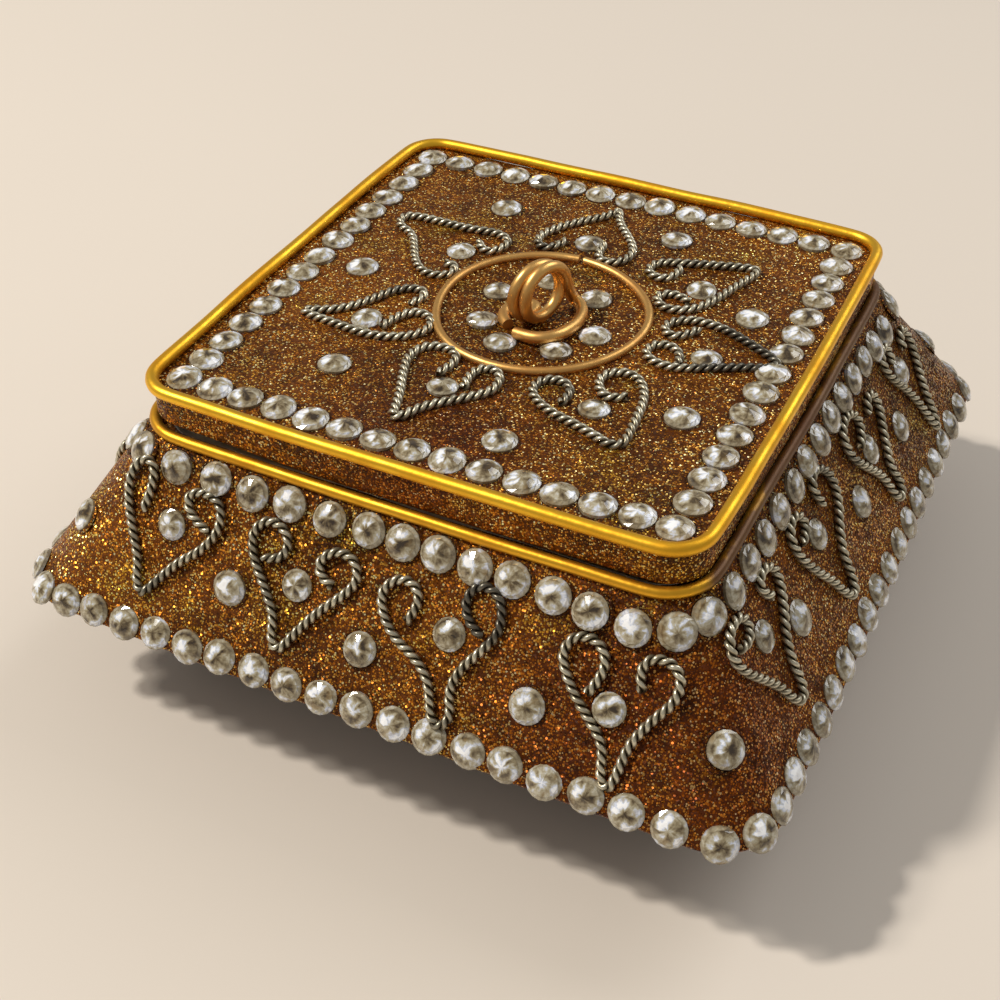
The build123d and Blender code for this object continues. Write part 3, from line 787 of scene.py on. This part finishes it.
# each heart's line from one curl to the other by way of its tip, as it lies on the wall or lid
heartsFront = (
    ((-31.8, 16.0), (-31.2, 18.7), (-31.4, 21.6), (-33.2, 22.2), (-34.6, 19.8), (-34.2, 16.4), (-32.6, 13.0),
     (-31.1, 10.0), (-30.8, 7.4), (-29.7, 6.0), (-28.3, 7.9), (-25.7, 11.3), (-22.6, 13.8), (-20.9, 16.9),
     (-21.6, 19.8), (-24.0, 20.4), (-26.2, 19.6), (-25.6, 17.6), (-24.0, 16.6), (-22.5, 16.0)),
    ((-14.6, 15.3), (-12.4, 15.6), (-11.6, 17.8), (-13.0, 19.6), (-15.4, 19.7), (-16.8, 17.6), (-15.8, 14.8),
     (-13.7, 12.2), (-11.6, 9.2), (-11.5, 6.6), (-10.2, 5.3), (-8.6, 8.1), (-6.2, 11.6), (-3.9, 13.9),
     (-2.2, 16.3), (-3.3, 18.7), (-5.7, 18.9), (-7.6, 17.3), (-7.0, 15.3), (-5.4, 14.9)),
    ((4.5, 13.8), (5.6, 15.8), (4.8, 18.1), (2.4, 18.3), (0.6, 16.2), (1.7, 13.4), (3.7, 11.5), (6.2, 10.4),
     (8.3, 8.8), (9.3, 6.5), (9.9, 4.3), (11.2, 3.5), (12.3, 5.2), (11.2, 8.0), (12.0, 10.8), (13.9, 13.4),
     (15.4, 15.9), (15.1, 18.7), (13.8, 20.3), (11.6, 20.3), (10.6, 18.2), (11.6, 15.9), (13.4, 15.0)),
    ((26.5, 12.8), (27.8, 15.2), (27.4, 17.7), (25.6, 18.8), (23.4, 18.2), (22.7, 16.0), (23.9, 13.8),
     (25.8, 11.6), (27.8, 9.9), (29.6, 8.1), (30.0, 5.8), (30.5, 3.8), (31.6, 3.8), (32.0, 6.5), (32.4, 9.2),
     (34.1, 12.4), (35.8, 14.7), (36.1, 17.1), (34.9, 18.8), (32.3, 18.8), (31.3, 16.8), (32.2, 15.0)))
heartsRight = (
    ((-33.9, 17.9), (-31.6, 16.9), (-29.9, 18.8), (-31.2, 20.4), (-34.0, 20.3), (-35.6, 18.4), (-35.0, 15.8),
     (-32.8, 12.9), (-30.8, 10.2), (-30.0, 7.6), (-28.5, 6.0), (-27.0, 7.5), (-26.8, 10.3), (-25.2, 13.2),
     (-22.9, 15.3), (-20.8, 18.2), (-21.8, 20.1), (-24.2, 20.5), (-25.6, 19.1), (-24.0, 17.4)),
    ((-14.0, 17.0), (-11.8, 17.3), (-11.2, 19.2), (-13.2, 20.4), (-15.5, 19.3), (-15.8, 16.7), (-14.1, 13.2),
     (-12.0, 10.2), (-11.1, 7.7), (-9.3, 5.5), (-7.7, 7.6), (-7.4, 10.4), (-5.2, 13.1), (-2.5, 15.2),
     (-1.4, 17.8), (-2.7, 20.1), (-5.2, 20.9), (-6.9, 19.3), (-6.0, 17.0)),
    ((7.8, 15.7), (10.5, 17.1), (10.2, 19.5), (7.6, 20.5), (5.0, 19.3), (4.6, 16.5), (6.7, 13.5), (8.8, 11.2),
     (9.8, 8.9), (10.0, 6.3), (11.7, 5.3), (13.0, 7.1), (12.2, 9.4), (13.7, 11.8), (15.2, 13.9),
     (17.1, 16.4), (16.6, 18.5), (14.5, 18.7), (13.5, 17.0)),
    ((25.5, 17.3), (26.5, 19.6), (24.0, 20.6), (22.6, 18.4), (23.6, 15.8), (25.7, 13.2), (27.3, 10.0),
     (28.2, 6.5), (29.0, 4.2), (30.1, 6.5), (30.4, 9.4), (32.1, 13.4), (33.4, 16.4), (32.6, 18.9),
     (30.6, 18.6), (30.3, 16.8)))
heartsLid = (
    ((-3.4, 17.2), (-4.0, 14.8), (-6.0, 14.2), (-7.2, 16.2), (-6.5, 18.8), (-4.2, 22.2), (-1.4, 25.0),
     (-0.1, 28.0), (0.8, 24.9), (3.8, 21.4), (5.8, 18.6), (5.7, 15.8), (3.9, 14.2), (1.6, 15.0), (1.6, 18.2)),
    ((12.8, 17.2), (13.0, 15.0), (11.2, 13.4), (9.0, 14.6), (9.4, 17.2), (12.8, 18.6), (17.2, 20.0),
     (22.8, 21.6), (20.8, 16.4), (19.2, 11.0), (17.2, 8.0), (14.0, 7.2), (12.2, 9.6), (14.4, 11.4),
     (16.6, 10.0)),
    ((19.9, 4.8), (18.9, 2.6), (16.9, 1.8), (15.6, 4.0), (17.8, 6.4), (21.9, 6.6), (27.1, 4.2), (32.2, 1.4),
     (26.4, -1.0), (21.4, -3.8), (18.6, -4.4), (15.9, -3.2), (15.9, -0.8), (17.9, 0.2), (20.0, -1.2),
     (20.2, -3.0)),
    ((17.4, -11.9), (15.6, -13.4), (13.6, -11.6), (13.0, -9.2), (15.2, -7.2), (17.8, -8.2), (19.5, -11.6),
     (20.0, -15.4), (20.8, -21.8), (15.2, -19.5), (10.0, -18.2), (6.8, -15.7), (7.1, -12.9), (9.6, -12.0),
     (11.6, -14.0), (11.0, -16.4)),
    ((-4.4, -17.2), (-3.2, -14.2), (-5.0, -11.9), (-8.2, -12.3), (-9.4, -15.2), (-8.0, -19.1), (-6.2, -23.0),
     (-4.8, -27.8), (-2.8, -23.4), (0.7, -20.2), (3.1, -17.6), (2.8, -14.6), (0.8, -13.2), (-1.2, -15.2),
     (-0.3, -18.4)),
    ((-14.6, -5.2), (-13.2, -3.0), (-15.4, -1.5), (-18.0, -3.2), (-19.7, -7.2), (-22.2, -10.6),
     (-27.0, -12.6), (-21.0, -13.2), (-15.8, -13.7), (-11.8, -12.4), (-9.6, -9.8), (-10.6, -6.8),
     (-13.2, -6.4), (-14.8, -8.8), (-15.2, -11.2)),
    ((-13.6, 11.8), (-12.2, 9.8), (-10.4, 11.0), (-9.9, 13.8), (-12.6, 15.2), (-16.4, 14.4), (-21.2, 14.6),
     (-26.2, 14.4), (-25.8, 11.4), (-22.6, 10.0), (-20.8, 7.0), (-18.8, 3.6), (-16.0, 1.6), (-13.2, 2.8),
     (-13.4, 5.4), (-15.2, 5.2)))
for side, wall in enumerate(walls):
    hearts = []
    for outline in (heartsFront, heartsRight)[side % 2]:
        places = [wallPlace(side, x, None, up - twist["lower"], twist["offWall"]).translation
                  for x, up in outline]
        tip = outline[9][0]
        hearts.append((places, wallPlace(side, tip, None, twist["middleUp"]).col[2].to_3d()))
    twistedHearts(wall + "Hearts", hearts, "box", wall + "_hearts")
hearts = [([lidPlace(x, y, 0, twist["offLid"]).translation for x, y in outline], Vector((0, 0, 1)))
          for outline in heartsLid]
twistedHearts("lidHearts", hearts, "lid", "lid_hearts")


# wires round the lid and the mouth, a little uneven as bent by hand
lidEdge = {"half": 35.0, "corner": 4.6, "z": 42.4, "bow": 0.3, "thick": 1.62}
mouthEdge = {"half": 35.6, "corner": 5.9, "z": 36.8, "bow": 0.2, "thick": 1.42}
uneven = {"turns": (18, 36, 54, 72), "flatSteps": 7, "drift": 0.16, "driftSize": 0.11,
          "swell": 0.05, "swellSize": 0.3}


def edgeWire(name, edge, finish, body, node):
    half, corner, u = edge["half"], edge["corner"], uneven
    flat = half - corner
    line = []
    for side in range(4):
        turned = Matrix.Rotation(math.radians(90 * side), 3, "Z")
        spots = [(flat * (i / u["flatSteps"] - 1), -half) for i in range(2 * u["flatSteps"] + 1)]
        spots += [(flat + corner * math.sin(math.radians(a)), -flat - corner * math.cos(math.radians(a)))
                  for a in u["turns"]]
        for x, y in spots:
            x, y = bowed(x, y, half, corner, edge["bow"])
            spot = turned @ Vector((x, y, edge["z"]))
            # noise_vector gives other values each time Blender starts, so this drift isn't the same each run
            drift = noise.noise_vector(spot * u["driftSize"]) * u["drift"]
            line.append((*((spot + drift) * mm), 1 + u["swell"] * noise.noise(spot * u["swellSize"])))
    mesh = drawn([line], edge["thick"] / 2 * mm, name, sides=5, closed=True)
    return place(name, mesh, finish, body, (node,))


edgeWire("lidEdgeWire", lidEdge, "gilt", "lid", "lid_edge_wire")
edgeWire("mouthWire", mouthEdge, "mouthGilt", "box", "mouth_wire")

ringWire = {"x": 0.8, "y": 0.4, "radius": 13.2, "thick": 1.14, "joint": 91.5, "gap": 1.6, "points": 49,
            "lift": 0.26, "threeLobes": 0.12, "fiveLobes": 0.08}
r = ringWire
line = []
for i in range(r["points"]):
    angle = math.radians(r["joint"] + r["gap"] + (360 - 2 * r["gap"]) * i / (r["points"] - 1))
    reach = r["radius"] + r["threeLobes"] * math.sin(3 * angle + 1) + r["fiveLobes"] * math.sin(5 * angle)
    line.append(((r["x"] + reach * math.cos(angle)) * mm, (r["y"] + reach * math.sin(angle)) * mm,
                 (lidTop + r["lift"]) * mm))
mesh = drawn([line], r["thick"] / 2 * mm, "lidRing", sides=4)
place("lidRing", mesh, "copper", "lid", ("lid_ring_wire",))

# the handle's line: a flat ring, two upright turns, and the flat ring again, each turn seen along its axis
loop = {"thick": 1.52, "radius": 3.36, "ease": 1.035, "turn": 68.3, "left": (0.5, -1.28),
        "right": (2.11, -1.16), "lift": 4.13, "points": 22, "step": 30, "crossFrom": 3, "crossOver": 12}
start = ((-1.3, -4.7, 0.62), (-2.3, -3.9, 0.62), (-3.0, -2.4, 0.62), (-2.7, -0.7, 0.64), (-1.2, 0.6, 0.66),
         (0.2, 0.4, 0.68))
finish = ((3.5, 2.9, 2.3), (3.6, 3.7, 1.1), (4.6, 3.4, 0.74), (5.8, 1.9, 0.72), (6.3, -0.7, 0.78),
          (6.1, -3.2, 1.05), (5.4, -5.2, 1.2), (4.1, -6.3, 1.15), (2.2, -6.6, 1.0), (0.4, -6.1, 0.78))
turn, radius = math.radians(loop["turn"]), loop["radius"] * loop["ease"]
along = Vector((math.cos(turn), math.sin(turn), 0))
line = [Vector((x, y, lidTop + z)) for x, y, z in start]
for i in range(loop["points"]):
    # the middle goes over from the left turn to the right one
    angle = math.radians(-90 - loop["step"] * i)
    share = max(0, min(1, (i - loop["crossFrom"]) / loop["crossOver"]))
    middle = Vector((*loop["left"], 0)).lerp(Vector((*loop["right"], 0)), share)
    middle += Vector((0, 0, lidTop + loop["lift"]))
    line.append(middle + along * radius * math.cos(angle) + Vector((0, 0, radius * math.sin(angle))))
line += [Vector((x, y, lidTop + z)) for x, y, z in finish]
mesh = drawn([[p * mm for p in line]], loop["thick"] / 2 * mm, "lidLoop", sides=6, order=3)
place("lidLoop", mesh, "copper", "lid", ("lid_loop",))
print("wires bent")

for node in ("tray_core", "wall_core", "lid_core"):
    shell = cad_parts[node]
    shell.data.materials.clear()
    shell.data.materials.append(paint["metal"])


# table, lamps and camera
table = {"half": 1.4, "colour": (0.745, 0.66, 0.565), "lighter": (0.775, 0.69, 0.59), "cloud": 9.0,
         "roughness": 0.6}
bm = bmesh.new()
bmesh.ops.create_grid(bm, x_segments=8, y_segments=8, size=table["half"])
floor = bpy.data.objects.new("table", toMesh(bm, "table"))
bpy.context.scene.collection.objects.link(floor)
b = Bench("tableTop")
tableTint = b.blend(b.grains(table["cloud"], Detail=2.0), table["colour"], table["lighter"])
floor.data.materials.append(b.finish(Base_Color=tableTint, Roughness=table["roughness"]))

# each lamp's direction, distance, width, power and colour
lamps = {
    "mainLamp": (lampWay, 1.0, 0.07, 5.3, (1.0, 0.965, 0.91)),
    "secondLamp": ((-0.60, -0.30, 0.74), 1.0, 0.09, 2.2, (1.0, 0.95, 0.88)),
    "backFill": ((0.45, 0.75, 0.85), 1.1, 0.7, 3.6, (0.95, 0.97, 1.0))}
lampAim = Vector((0, 0, 0.03))
for name, (way, far, size, power, colour) in lamps.items():
    data = bpy.data.lights.new(name, "AREA")
    data.shape, data.size, data.energy, data.color = "DISK", size, power, colour
    lamp = bpy.data.objects.new(name, data)
    way = Vector(way).normalized()
    lamp.location = way * far + lampAim
    lamp.rotation_euler = way.to_track_quat("Z", "Y").to_euler()
    bpy.context.scene.collection.objects.link(lamp)

room = {"colour": (0.95, 0.93, 0.90), "strength": 0.32}
world = bpy.data.worlds.new("room")
bpy.context.scene.world = world
world.use_nodes = True
background = world.node_tree.nodes["Background"].inputs
background["Color"].default_value = (*room["colour"], 1)
background["Strength"].default_value = room["strength"]

view = {"spot": (67.4, -143.6, 143.8), "right": (0.896, 0.444, -0.009), "ahead": (-0.346, 0.686, -0.640),
        "lens": 54.3, "sensor": 36.0, "clip": 0.005}
camera = bpy.data.objects.new("camera", bpy.data.cameras.new("camera"))
bpy.context.scene.collection.objects.link(camera)
ahead = Vector(view["ahead"]).normalized()
rightward = Vector(view["right"])
rightward = (rightward - ahead * rightward.dot(ahead)).normalized()
stance = Matrix((rightward, rightward.cross(ahead), -ahead)).transposed().to_4x4()
stance.translation = Vector(view["spot"]) * mm
camera.matrix_world = stance
camera.data.lens, camera.data.sensor_width = view["lens"], view["sensor"]
camera.data.clip_start = view["clip"]
bpy.context.scene.camera = camera
bpy.context.scene.view_settings.view_transform = "Standard"

print("scene ready")
